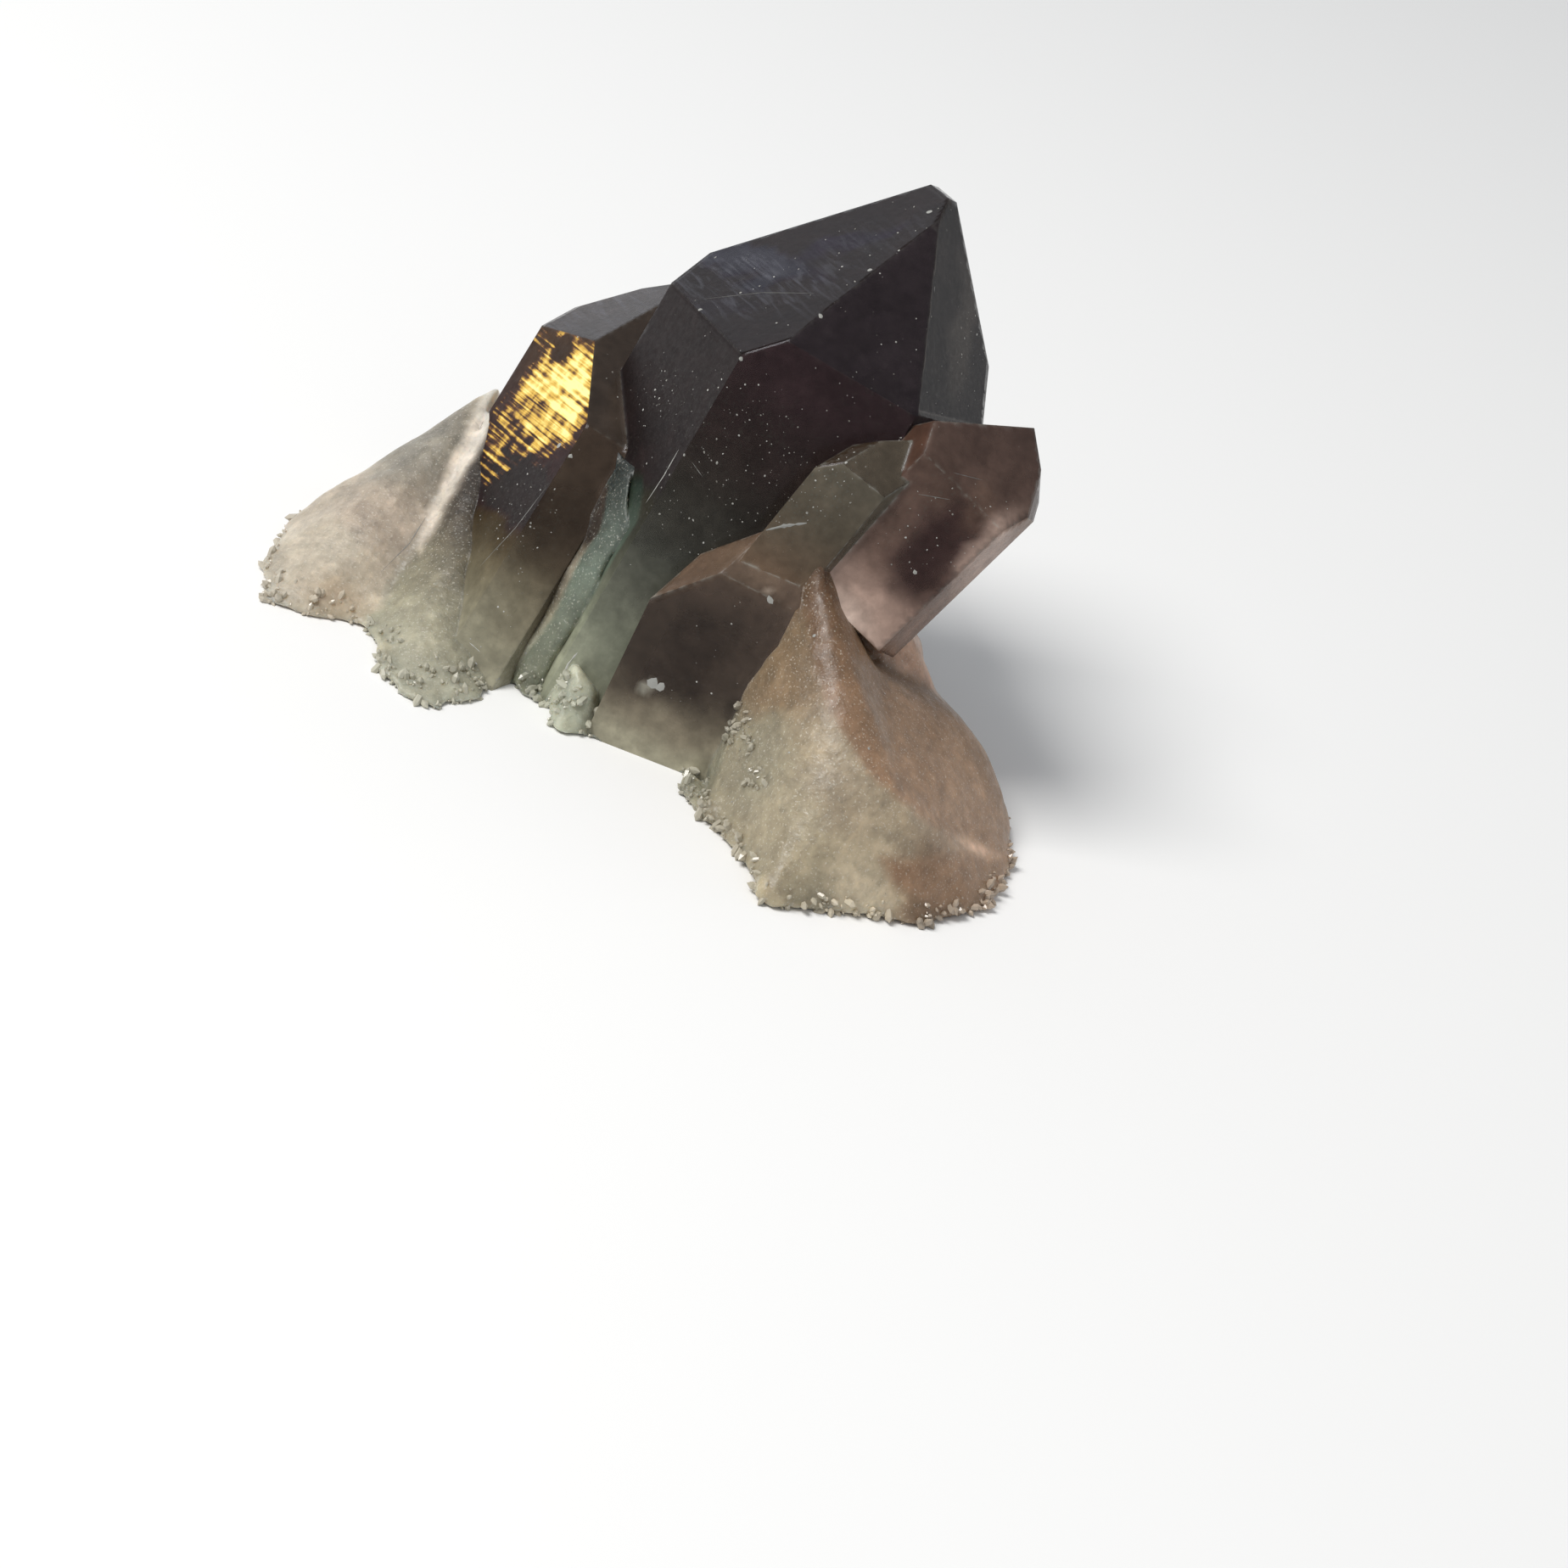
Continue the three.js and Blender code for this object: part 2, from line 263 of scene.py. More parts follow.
def plane_names(mesh):
    """Each numbered plane's crystal and label. Planes of no crystal become the root's, number 0."""
    layer = mesh.faces.layers.int["flat"]
    middles = {}
    for face in mesh.faces:
        if face[layer]:
            area = face.calc_area()
            total = middles.setdefault(face[layer], [np.zeros(3), np.zeros(3), 0])
            total[0] += area * np.array(face.calc_center_median()) / MM
            total[1] += area * np.array(face.normal)
            total[2] += area
    names = {0: ("", "")}
    for number, (total, normal, area) in middles.items():
        place = seen([total / area])
        normal = normal / np.linalg.norm(normal)
        fits = {}
        for name, crystal in CRYSTALS.items():
            far = from_axis(crystal, place)[0]
            for label, outward in face_directions(crystal).items():
                if outward @ EYE @ normal > math.cos(MOST_SLANT) and far < FARTHEST:
                    fits[name, label] = far
        if fits:
            names[number] = min(fits, key=fits.get)
    for face in mesh.faces:
        if face[layer] not in names:
            face[layer] = 0
    return names


def make_finer(mesh):
    """Splits long edges until the faces are as small as the grain, leaving the cut foot as it is."""
    layer = mesh.faces.layers.int["flat"]
    for _ in range(FINER_PASSES):
        long_edges = []
        for edge in mesh.edges:
            kinds = [face[layer] for face in edge.link_faces]
            foot = all(abs(v.co.z) < SAME_PLACE for v in edge.verts)
            grain = FACE_GRAIN if all(kinds) else ROOT_GRAIN
            if foot and all(kinds):
                continue
            if edge.calc_length() > LONGEST_EDGE * grain * MM:
                long_edges.append(edge)
        if not long_edges:
            break
        bmesh.ops.subdivide_edges(mesh, edges=long_edges, cuts=1)
        bmesh.ops.triangulate(mesh, faces=[f for f in mesh.faces if len(f.verts) > 3])


def neighbour_sums(edges, values):
    """For each corner, the sum of its neighbours' values."""
    sums = np.zeros_like(values)
    np.add.at(sums, edges[:, 0], values[edges[:, 1]])
    np.add.at(sums, edges[:, 1], values[edges[:, 0]])
    return sums


def roughen(mesh):
    """Rounds the root's facets off and breaks its surface up. Corners of flat faces don't move."""
    layer = mesh.faces.layers.int["flat"]
    mesh.verts.index_update()
    free = np.array([not any(face[layer] for face in v.link_faces) for v in mesh.verts])
    places = np.array([v.co for v in mesh.verts])
    edges = np.array([[e.verts[0].index, e.verts[1].index] for e in mesh.edges])
    counts = np.bincount(edges.ravel(), minlength=len(places))[:, None]
    for _ in range(SMOOTHINGS):
        mean = neighbour_sums(edges, places) / counts
        places[free] += 0.5 * (mean - places)[free]
    for v, place in zip(mesh.verts, places):
        v.co = place
    mesh.normal_update()
    for v in mesh.verts:
        if free[v.index]:
            spot = v.co / MM
            step = sum(height * noise.noise(spot / length) for height, length in ROOT_WAVES)
            v.co += v.normal * step * MM
            v.co.z = max(v.co.z, 0)


cluster_mesh = merged_copy(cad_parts["smoky_quartz_cluster"])
plane_name = plane_names(cluster_mesh)
make_finer(cluster_mesh)
roughen(cluster_mesh)
cluster_mesh.normal_update()
flat_layer = cluster_mesh.faces.layers.int["flat"]
face_names = [plane_name[face[flat_layer]] for face in cluster_mesh.faces]

# Colours of the cluster's surface, as places in the picture show them, less the light that the
# glossy faces mirror. They are worked out for each corner of each face and kept in the mesh, with
# how clear the quartz is there, how frosted it is, how pale its edges are, partly from wear and
# partly from a painted highlight, and how much painted sheen its top faces show in brushed strokes.
MOST_CLEAR = 0.72
# How bright the floor, the boxes and the room look in each kind of face
MIRRORED = {"M0": 0.03, "F0": 0.02}
MIRRORED_ELSEWHERE = 0.006
DARKEST = (0.011, 0.0065, 0.006)
# How far the colours' borders wander: each wave's length and height in millimetres
BORDER_WAVES = [(7, 2.4), (2.2, 0.8)]
# How pale each crystal's edges are: partly frosted, chipped wear and partly a painted highlight along
# the edges
EDGE_WEAR_AND_HIGHLIGHT = {"dusty": 0.95, "front": 0.85, "right": 0.85, "gilt": 0.75, "main": 0.68}
EDGE_WEAR_AND_HIGHLIGHT_ELSEWHERE = 0.6
# The root's colours: middle, reach and colour of each patch
ROOT_PATCHES = [
    ((-66, 30, 5), 9, (188, 178, 161)),
    ((-62, 25, 10), 6, (192, 174, 150)),
    ((-51, 47, -9), 6, (140, 135, 124)),
    ((-57, 36, 0), 7, (182, 168, 152)),
    ((-53, 18, 14), 8, (160, 156, 136)),
    ((-46, 13, 17), 7, (168, 165, 143)),
    ((-29, 10, 15), 6, (178, 180, 160)),
    ((-12, 3, 17), 5, (138, 136, 118)),
    ((3, 26, 26), 5, (108, 86, 64)),
    ((0, 14, 27), 7, (130, 110, 86)),
    ((-3, 3, 27), 8, (152, 144, 123)),
    ((0, -9, 34), 9, (166, 155, 131)),
    ((10, -15, 34), 6, (206, 191, 164)),
    ((9, -1, 35), 7, (164, 150, 128)),
    ((8, 20, 24), 4, (114, 89, 69)),
    ((15, 8, 24), 7, (140, 115, 92)),
    ((26, -1, 14), 7, (236, 198, 170)),
    ((30, -12, 13), 6, (236, 198, 170)),
    ((18, -15, 30), 5, (132, 107, 84)),
    ((15, 20, 12), 5, (140, 117, 100)),
    ((-10, 30, -28), 20, (164, 154, 135)),
    ((20, 12, -14), 14, (168, 150, 134)),
]
# Marks seen in the crystals: crystal, middle and half-sizes in millimetres right and up in the
# picture, turn in degrees, strength, colour
MARKS = [
    ("main", (-4.5, 73.5), (11, 2.6), -9, 0.75, (66, 66, 72)),
    ("main", (-9, 68), (9, 2), 12, 0.5, (44, 44, 52)),
    ("main", (10, 77), (12, 2), 22, 0.4, (60, 60, 66)),
    ("main", (26, 66), (3, 14), -6, 0.7, (84, 78, 72)),
    ("main", (-18.5, 54.5), (3.2, 1.6), -38, 0.25, (72, 58, 52)),
    ("gilt", (-38, 42), (5.5, 6), 0, 0.85, (38, 31, 29)),
    ("right", (21.5, 33.5), (6.5, 9.5), -42, 0.9, (54, 42, 41)),
    ("right", (27, 38.5), (6, 3.5), 55, 0.55, (104, 84, 73)),
    ("right", (28.8, 33), (10, 2.6), 52, 0.75, (168, 146, 134)),
    ("front", (-13.5, 18), (9, 6.5), 45, 0.75, (50, 43, 38)),
    ("front", (-18.5, 14.3), (1.6, 1.1), 0, 0.8, (150, 148, 136)),
    ("front", (-2.1, 26), (0.9, 0.9), 0, 0.8, (166, 152, 138)),
    ("front", (-5, 30), (4, 6), 60, 0.5, (112, 96, 82)),
]
# Where the top faces show a bluish sheen in brushed strokes, painted into their colour: crystal, middle
# and half-sizes in the picture, turn, strength
BRUSHED_SHEEN = [
    ("main", (-6, 70.5), (15, 5.5), -4, 1.0),
    ("main", (12, 76), (15, 5), 24, 0.5),
    ("gilt", (-26, 67), (12, 4), 12, 0.8),
]
# Where the root in front has the second crystal's colours, as places in the picture
GILT_OUTLINE = [
    (-39.8, 58.1), (-34.1, 65.3), (-24.5, 62.9), (-24.2, 53.3), (-25.0, 43.7), (-26.2, 36.5),
    (-29.8, 29.3), (-33.8, 21.5), (-39.2, 13.1), (-40.1, 10.1), (-50.9, 8.9), (-59.9, 8.9),
    (-58.9, 21.5),
]
# Areas of the surface with an outline of their own, as places right and up in the picture. Each
# tells whose faces it may colour, how soft its rim is and its colours from its foot to its top:
# the frosted seam between the two big crystals, the clear band along the plate's right edge, and
# the root's brown right face, its pale lobe behind and its darker band below.
AREAS = [
    dict(owners=("", "main M0"), soft=0.4, outline=[
        (-24.2, 54.0), (-20.1, 47.8), (-19.9, 43.0), (-20.8, 37.0), (-24.0, 31.8), (-27.1, 26.4),
        (-31.3, 19.2), (-35.2, 12.6), (-39.2, 13.1), (-33.8, 21.5), (-29.8, 29.3), (-26.2, 36.5),
        (-25.0, 43.7),
    ], colours=[
        (13, 128, 129, 110), (30, 104, 114, 102), (46, 44, 48, 46),
    ]),
    dict(owners=("",), soft=1.1, outline=[
        (-39.8, 57.4), (-38.9, 54.5), (-43.0, 47.3), (-47.3, 40.1), (-51.6, 32.3), (-52.3, 34.1),
        (-48.8, 41.9), (-45.1, 50.3), (-42.2, 55.9),
    ], colours=[
        (32, 200, 187, 171), (40, 212, 201, 186), (49.5, 234, 225, 212), (53.5, 206, 200, 189),
    ]),
    dict(owners=("",), soft=1.2, outline=[
        (5.0, 32.3), (2.8, 26.9), (2.6, 24.2), (5.0, 14.9), (7.9, 7.7), (11.5, 2.3), (16.3, -2.5),
        (23.5, -7.3), (32.5, -10.1), (33.1, -4.3), (30.7, 2.9), (24.7, 11.0), (16.3, 16.1),
        (10.3, 22.1), (7.3, 28.1),
    ], colours=[
        (-10, 166, 136, 111), (8, 148, 120, 95), (30, 98, 75, 56),
    ]),
    dict(owners=("",), soft=1.5, outline=[
        (7.3, 28.1), (10.6, 21.8), (16.6, 15.8), (21.6, 12.7), (20.6, 19.7), (19.2, 24.2),
        (13.9, 25.4),
    ], colours=[
        (12, 188, 154, 131), (26, 170, 136, 113),
    ]),
    dict(owners=("",), soft=2, outline=[
        (13.9, -10.6), (21.1, -10.1), (32.5, -10.1), (34.8, -9.1), (32.6, -17.0), (21.1, -18.0),
        (16.3, -15.1),
    ], colours=[
        (-17, 158, 128, 102), (-10, 152, 122, 96),
    ]),
]
# Where the gold flash, a reflection of light off a crack that is painted into the colour, lies on the
# second crystal's left face, its bright middle, a dark hole in it, and the way its streaks run, in
# degrees below the horizontal
PAINTED_FLASH_OUTLINE = [
    (-34.1, 64.8), (-30.7, 65.3), (-26.9, 62.6), (-27.2, 58.1), (-27.4, 52.1), (-29.3, 48.5),
    (-34.1, 45.5), (-38.9, 46.1), (-43.7, 43.7), (-42.2, 50.3), (-38.9, 53.3), (-36.2, 58.1),
    (-34.1, 62.9),
]
PAINTED_FLASH_MIDDLE = ((-30.8, 55.2), (5, 7.5), -15)
PAINTED_FLASH_HOLE = ((-30.9, 61.6), (2.2, 1.5), -20)
PAINTED_FLASH_FALL = 39
# Seed of the smooth noise that moves the colours' borders about
BORDER_SEED = 7
noise.seed_set(BORDER_SEED)


def screen(colour):
    """A screen colour, 0 to 255, as the light it stands for."""
    share = np.asarray(colour) / 255
    return np.where(share <= 0.04045, share / 12.92, ((share + 0.055) / 1.055) ** 2.4)


def wandering(places, length, height):
    """Places moved about by smooth noise of that length and height, in millimetres."""
    steps = [noise.noise_vector(Vector(place / length)) for place in places]
    return places + height * np.array(steps)


def vertex_places(mesh):
    flat = np.zeros(3 * len(mesh.vertices))
    mesh.vertices.foreach_get("co", flat)
    return flat.reshape(-1, 3) / MM


def ramped(stops, heights):
    """The colours at some heights, from stops of a height and its red, green and blue."""
    table = np.array(stops, dtype=float)
    return np.stack([np.interp(heights, table[:, 0], table[:, i]) for i in (1, 2, 3)], axis=1)


def crystal_colour(crystal, places):
    """A crystal's colour at some places, from how far up its axis they lie."""
    return ramped(crystal["colours"], places @ axis_of(crystal))


def in_picture(places):
    """Where places appear in the picture, right and up in millimetres at the looked-at point."""
    return places[:, :2] / (1 - places[:, 2:] / EYE_DISTANCE)


def inside(outline, spots):
    """How far inside an outline spots in the picture lie, below 0 outside it."""
    corners = np.array(outline)
    ends = np.roll(corners, -1, axis=0)
    nearest = np.full(len(spots), np.inf)
    crossings = np.zeros(len(spots), dtype=int)
    for corner, end in zip(corners, ends):
        edge = end - corner
        share = np.clip(((spots - corner) @ edge) / (edge @ edge), 0, 1)
        nearest = np.minimum(nearest, np.linalg.norm(spots - corner - share[:, None] * edge, axis=1))
        between = (corner[1] > spots[:, 1]) != (end[1] > spots[:, 1])
        reach = corner[0] + (spots[:, 1] - corner[1]) * edge[0] / (edge[1] or 1e-9)
        crossings += between & (spots[:, 0] < reach)
    return np.where(crossings % 2 == 1, nearest, -nearest)


def in_ellipse(middle, sizes, turn, spots):
    """1 in the middle of an ellipse in the picture, falling off softly to 0 at its rim and beyond."""
    angle = math.radians(turn)
    steps = spots - np.array(middle)
    across = steps @ (math.cos(angle), math.sin(angle)) / sizes[0]
    up = steps @ (-math.sin(angle), math.cos(angle)) / sizes[1]
    share = np.clip(1.4 * (1.1 - np.hypot(across, up)), 0, 1)
    return share ** 2 * (3 - 2 * share)


def root_colour(places):
    """The root's patches, giving way to the colours of the crystals that it wraps round in front."""
    total = np.zeros((len(places), 3))
    weights = np.zeros((len(places), 1))
    for middle, reach, colour in ROOT_PATCHES:
        far = np.sum((places - middle) ** 2, axis=1, keepdims=True) / reach ** 2
        weight = 1 / (0.15 + far) ** 2
        total += weight * np.array(colour)
        weights += weight
    colour = total / weights
    gilt, front = CRYSTALS["gilt"], CRYSTALS["front"]
    gilt_share = np.clip(0.5 + inside(GILT_OUTLINE, in_picture(places)) / 1.5, 0, 1)
    gilt_share *= np.clip((places[:, 2] + 14) / 6, 0, 1)
    front_share = np.clip((1.35 - from_axis(front, places)) / 0.3, 0, 1) * (places[:, 1] < 12)
    for crystal, share in ((gilt, gilt_share), (front, front_share)):
        colour += share[:, None] * (crystal_colour(crystal, places) - colour)
    return colour


def blend(colour, mine, share, other):
    """Moves the colours of some corners towards another colour by their share."""
    part = colour[mine]
    colour[mine] = part + share[mine][:, None] * (np.array(other) - part)


def on_edges(corner_vertex, corner_names):
    """Whether each face corner lies on an edge between two flat faces of the crystals."""
    _, numbers = np.unique(corner_names, axis=0, return_inverse=True)
    numbers = numbers.ravel()
    lowest = np.full(corner_vertex.max() + 1, numbers.max())
    highest = np.zeros(corner_vertex.max() + 1, dtype=int)
    rough = np.zeros(corner_vertex.max() + 1, dtype=bool)
    np.minimum.at(lowest, corner_vertex, numbers)
    np.maximum.at(highest, corner_vertex, numbers)
    rough[corner_vertex[corner_names[:, 0] == ""]] = True
    return ((lowest != highest) & ~rough)[corner_vertex]


def surface_colours(owner, label, moved):
    """The root's and the crystals' colours, with the marks seen in the crystals."""
    colour = root_colour(moved)
    for name, crystal in CRYSTALS.items():
        mine = owner == name
        colour[mine] = crystal_colour(crystal, moved[mine])
        for face_label, own in crystal["faces"].items():
            colour[mine & (label == face_label)] = own
    for name, middle, sizes, turn, strength, own in MARKS:
        share = strength * in_ellipse(middle, sizes, turn, in_picture(moved))
        blend(colour, owner == name, share, own)
    return colour


def colour_areas(colour, owner, label, places, moved):
    """Colours the outlined areas, and returns how far each face corner belongs to one of them."""
    names = np.where(owner == "main", np.char.add("main ", label), owner)
    spots = in_picture(places)
    wavy_spots = 0.7 * spots + 0.3 * in_picture(moved)
    cloudy = np.zeros(len(places))
    for area in AREAS:
        mine = np.isin(names, area["owners"]) & (places[:, 2] > -20)
        share = np.clip(0.5 + inside(area["outline"], wavy_spots) / area["soft"], 0, 1)
        blend(colour, mine, share, ramped(area["colours"], spots[:, 1])[mine])
        cloudy[mine] = np.maximum(cloudy[mine], share[mine])
    return cloudy


def painted_flash_share(owner, label, spots):
    """How strongly the painted gold flash, a painted reflection, shows at each face corner."""
    painted_flash = np.zeros(len(spots))
    mine = (owner == "gilt") & (label == "M0")
    painted_flash[mine] = np.clip(0.2 + inside(PAINTED_FLASH_OUTLINE, spots[mine]) / 5, 0, 0.5)
    painted_flash[mine] += 0.5 * in_ellipse(*PAINTED_FLASH_MIDDLE, spots[mine])
    painted_flash[mine] -= 0.9 * in_ellipse(*PAINTED_FLASH_HOLE, spots[mine])
    return painted_flash


def along_axes(owner, places):
    """How far up its own crystal's axis each face corner lies, and 0 on the root."""
    along = np.zeros(len(places))
    for name, crystal in CRYSTALS.items():
        along[owner == name] = places[owner == name] @ axis_of(crystal)
    return along


def brushed_sheen_share(owner, label, spots):
    """How strongly the painted sheen in brushed strokes shows on the top faces at each face corner."""
    return sum(
        in_ellipse(middle, sizes, turn, spots) * strength * ((owner == name) & (label == "F0"))
        for name, middle, sizes, turn, strength in BRUSHED_SHEEN
    )


def streak_places(spots):
    """Spots of the picture, turned so that the first number runs down along the painted flash's streaks.
    """
    fall = math.radians(PAINTED_FLASH_FALL)
    along = spots @ (math.cos(fall), -math.sin(fall))
    across = spots @ (math.sin(fall), math.cos(fall))
    return np.stack([along, across, np.zeros(len(spots))], axis=1)


def corner_facts(mesh, face_names):
    """Each face corner's vertex, its place as seen, that place moved about by the border waves,
    and the crystal and the label of its face."""
    vertex = np.zeros(len(mesh.loops), dtype=int)
    mesh.loops.foreach_get("vertex_index", vertex)
    places = seen(vertex_places(mesh))
    moved = places
    for length, height in BORDER_WAVES:
        moved = wandering(moved, length, height)
    sizes = np.zeros(len(mesh.polygons), dtype=int)
    mesh.polygons.foreach_get("loop_total", sizes)
    names = np.repeat(np.array(face_names), sizes, axis=0)
    return vertex, places[vertex], moved[vertex], names


def paint(mesh, face_names):
    """Gives each face corner its colour, how clear the quartz is there and how its surface looks."""
    vertex, places, moved, names = corner_facts(mesh, face_names)
    owner, label = names[:, 0], names[:, 1]
    colour = surface_colours(owner, label, moved)
    cloudy = colour_areas(colour, owner, label, places, moved)
    light = screen(colour)
    clear = np.clip(1.2 - 7 * light.max(axis=1), 0, 1) * np.where(owner == "", 0.3, 1)
    clear *= 1 - 0.9 * cloudy
    # The cloudy part of the surface shows its colour, and the clear part only shines
    mirrored = np.array([MIRRORED.get(name, MIRRORED_ELSEWHERE) for name in label])
    light = np.maximum(light - mirrored[:, None], DARKEST) / (1 - MOST_CLEAR * clear[:, None])
    wear_and_highlight = np.array([EDGE_WEAR_AND_HIGHLIGHT.get(name, EDGE_WEAR_AND_HIGHLIGHT_ELSEWHERE) for name in owner])
    shares = {
        "clear": clear,
        "along": along_axes(owner, places),
        "painted_flash": painted_flash_share(owner, label, in_picture(moved)),
        "brushed_sheen": brushed_sheen_share(owner, label, in_picture(moved)),
        "frosted": np.where(label == "M0", 1.0, 0.0),
        # Pale edges: partly chips, partly painted highlight
        "worn_and_highlighted": on_edges(vertex, names) * wear_and_highlight,
    }
    for name, values in shares.items():
        mesh.attributes.new(name, "FLOAT", "CORNER").data.foreach_set("value", values)
    attribute = mesh.attributes.new("quartz_colour", "FLOAT_COLOR", "CORNER")
    attribute.data.foreach_set("color", np.hstack([light, np.ones((len(light), 1))]).ravel())
    attribute = mesh.attributes.new("streak", "FLOAT_VECTOR", "CORNER")
    attribute.data.foreach_set("vector", streak_places(in_picture(places)).ravel())


mesh_data = bpy.data.meshes.new("smoky_quartz")
cluster_mesh.to_mesh(mesh_data)
cluster_mesh.free()
cluster = bpy.data.objects.new("smoky_quartz", mesh_data)
bpy.context.collection.objects.link(cluster)
paint(mesh_data, face_names)
mesh_data.polygons.foreach_set("use_smooth", [name == "" for name, _ in face_names])
mesh_data.set_sharp_from_angle(angle=SHARP_ANGLE)

# The quartz itself: smoke-dark clear crystal that turns cloudy towards the root, with fine growth
# lines across its faces, wispy veils inside and one gold flash, a painted reflection where light would
# catch a hidden crack, which also glows a little.
QUARTZ_IOR = 1.55
QUARTZ_SHINE = 0.4
QUARTZ_SHINE_TINT = (0.2, 0.2, 0.22, 1)
BRUSH_TURN = math.radians(34)
SMOKE_TINT = (0.37, 0.29, 0.25, 1)
SMOKE_DENSITY = 320
MILK_SHARE = 0.8
MILK_DEPTH = 5
MILK_REACH = (1, 0.8, 0.62)
MILK_SPECK = (0.75, 0.72, 0.64, 1)
# How high the root's and the crystals' relief is, in millimetres, and the least roughness
MILKY_RELIEF = 0.5
SMOKY_RELIEF = 0.08
SMOOTHEST = 0.05
GRAIN_COLOUR = (0.15, 0.15, 0.125, 1)
# Pale edge colour: partly chipped, frosted wear and partly a painted highlight where the edges catch
# light
EDGE_WEAR_AND_HIGHLIGHT_COLOUR = (0.36, 0.35, 0.31, 1)
# The painted gold flash: colours of its bright core, its gold and its dark rim, and how strongly it
# glows though it is no lamp
PAINTED_FLASH_CORE = (0.92, 0.86, 0.32, 1)
PAINTED_FLASH_GOLD = (0.64, 0.4, 0.07, 1)
PAINTED_FLASH_EDGE = (0.12, 0.05, 0.02, 1)
PAINTED_FLASH_GLOW = 0.16
# Colour of the painted sheen that the top faces show in brushed strokes
BRUSHED_SHEEN_COLOUR = (0.26, 0.26, 0.31, 1)
# What the mesh holds for the materials
PAINTED = ["quartz_colour", "clear", "along", "painted_flash", "streak", "brushed_sheen", "frosted", "worn_and_highlighted", "dust"]


def add(tree, kind, inputs=None, **settings):
    """A new node whose inputs are set, or linked where the value is a socket."""
    made = tree.nodes.new(kind)
    for name, value in settings.items():
        setattr(made, name, value)
    for name, value in (inputs or {}).items():
        if isinstance(value, bpy.types.NodeSocket):
            tree.links.new(value, made.inputs[name])
        else:
            made.inputs[name].default_value = value
    return made


def math_node(tree, operation, first, second):
    return add(tree, "ShaderNodeMath", {0: first, 1: second}, operation=operation).outputs[0]


def product(tree, first, second):
    return math_node(tree, "MULTIPLY", first, second)


def ramp_node(tree, value, low, high, low_result=0.0, high_result=1.0):
    """The value's part between low and high, as a number between the two results."""
    return add(tree, "ShaderNodeMapRange", {
        "Value": value, "From Min": low, "From Max": high, "To Min": low_result, "To Max": high_result,
    }).outputs["Result"]


def mix_node(tree, share, first, second):
    mixed = add(tree, "ShaderNodeMix", data_type="RGBA")
    for name, value in (("Factor_Float", share), ("A_Color", first), ("B_Color", second)):
        socket = next(s for s in mixed.inputs if s.identifier == name)
        if isinstance(value, bpy.types.NodeSocket):
            tree.links.new(value, socket)
        else:
            socket.default_value = value
    return next(s for s in mixed.outputs if s.identifier == "Result_Color")


def noise_node(tree, place, scale, detail=4.0, distortion=0.0):
    return add(tree, "ShaderNodeTexNoise", {
        "Vector": place, "Scale": scale, "Detail": detail, "Distortion": distortion,
    }).outputs["Fac"]


def scaled(tree, vector, factor):
    return add(tree, "ShaderNodeVectorMath", {0: vector, 3: factor}, operation="SCALE").outputs[0]


def stretched(tree, vector, factors):
    return add(tree, "ShaderNodeVectorMath", {0: vector, 1: factors}, operation="MULTIPLY").outputs[0]


def shaded_colour(tree, attribute, place):
    """The painted colour, made uneven by clouds, mottle and soft veils, with a painted sheen in brushed
    strokes on top.
    """
    clouds = ramp_node(tree, noise_node(tree, place, 0.14, 4, 0.6), 0.3, 0.7, 0.8, 1.14)
    mottle = ramp_node(tree, noise_node(tree, place, 0.7, 6), 0.3, 0.7, 0.85, 1.13)
    veils = ramp_node(tree, noise_node(tree, place, 0.25, 8, 0.4), 0.5, 0.8, 1, 1.35)
    shade = product(tree, product(tree, clouds, mottle), veils)
    tinted = scaled(tree, attribute["quartz_colour"]["Color"], shade)
    strokes_at = add(tree, "ShaderNodeMapping", {
        "Vector": attribute["streak"]["Vector"], "Rotation": (0, 0, BRUSH_TURN), "Scale": (0.22, 1.1, 1),
    }).outputs[0]
    strokes = ramp_node(tree, noise_node(tree, strokes_at, 0.9, 7, 1.4), 0.48, 0.72)
    brushed_sheen = product(tree, product(tree, strokes, attribute["brushed_sheen"]["Fac"]), 0.6)
    return mix_node(tree, brushed_sheen, tinted, BRUSHED_SHEEN_COLOUR)


def painted_gold_flash(tree, attribute, place):
    """The painted flash's colour and where it shows: streaks of painted reflection that run down to the
    right across the face.
    """
    streak_place = stretched(tree, attribute["streak"]["Vector"], (0.14, 2.2, 1))
    streaks = product(tree, noise_node(tree, streak_place, 0.8, 4, 0.2), 0.66)
    patches = product(tree, noise_node(tree, place, 0.36, 4, 0.4), 0.44)
    lit = product(tree, attribute["painted_flash"]["Fac"], 0.25)
    glow = math_node(tree, "ADD", lit, math_node(tree, "ADD", streaks, patches))
    orange = mix_node(tree, ramp_node(tree, glow, 0.66, 0.74), PAINTED_FLASH_EDGE, PAINTED_FLASH_GOLD)
    gold = mix_node(tree, ramp_node(tree, glow, 0.75, 0.85), orange, PAINTED_FLASH_CORE)
    on_face = ramp_node(tree, attribute["painted_flash"]["Fac"], 0.02, 0.1)
    return gold, product(tree, ramp_node(tree, glow, 0.61, 0.67), on_face)


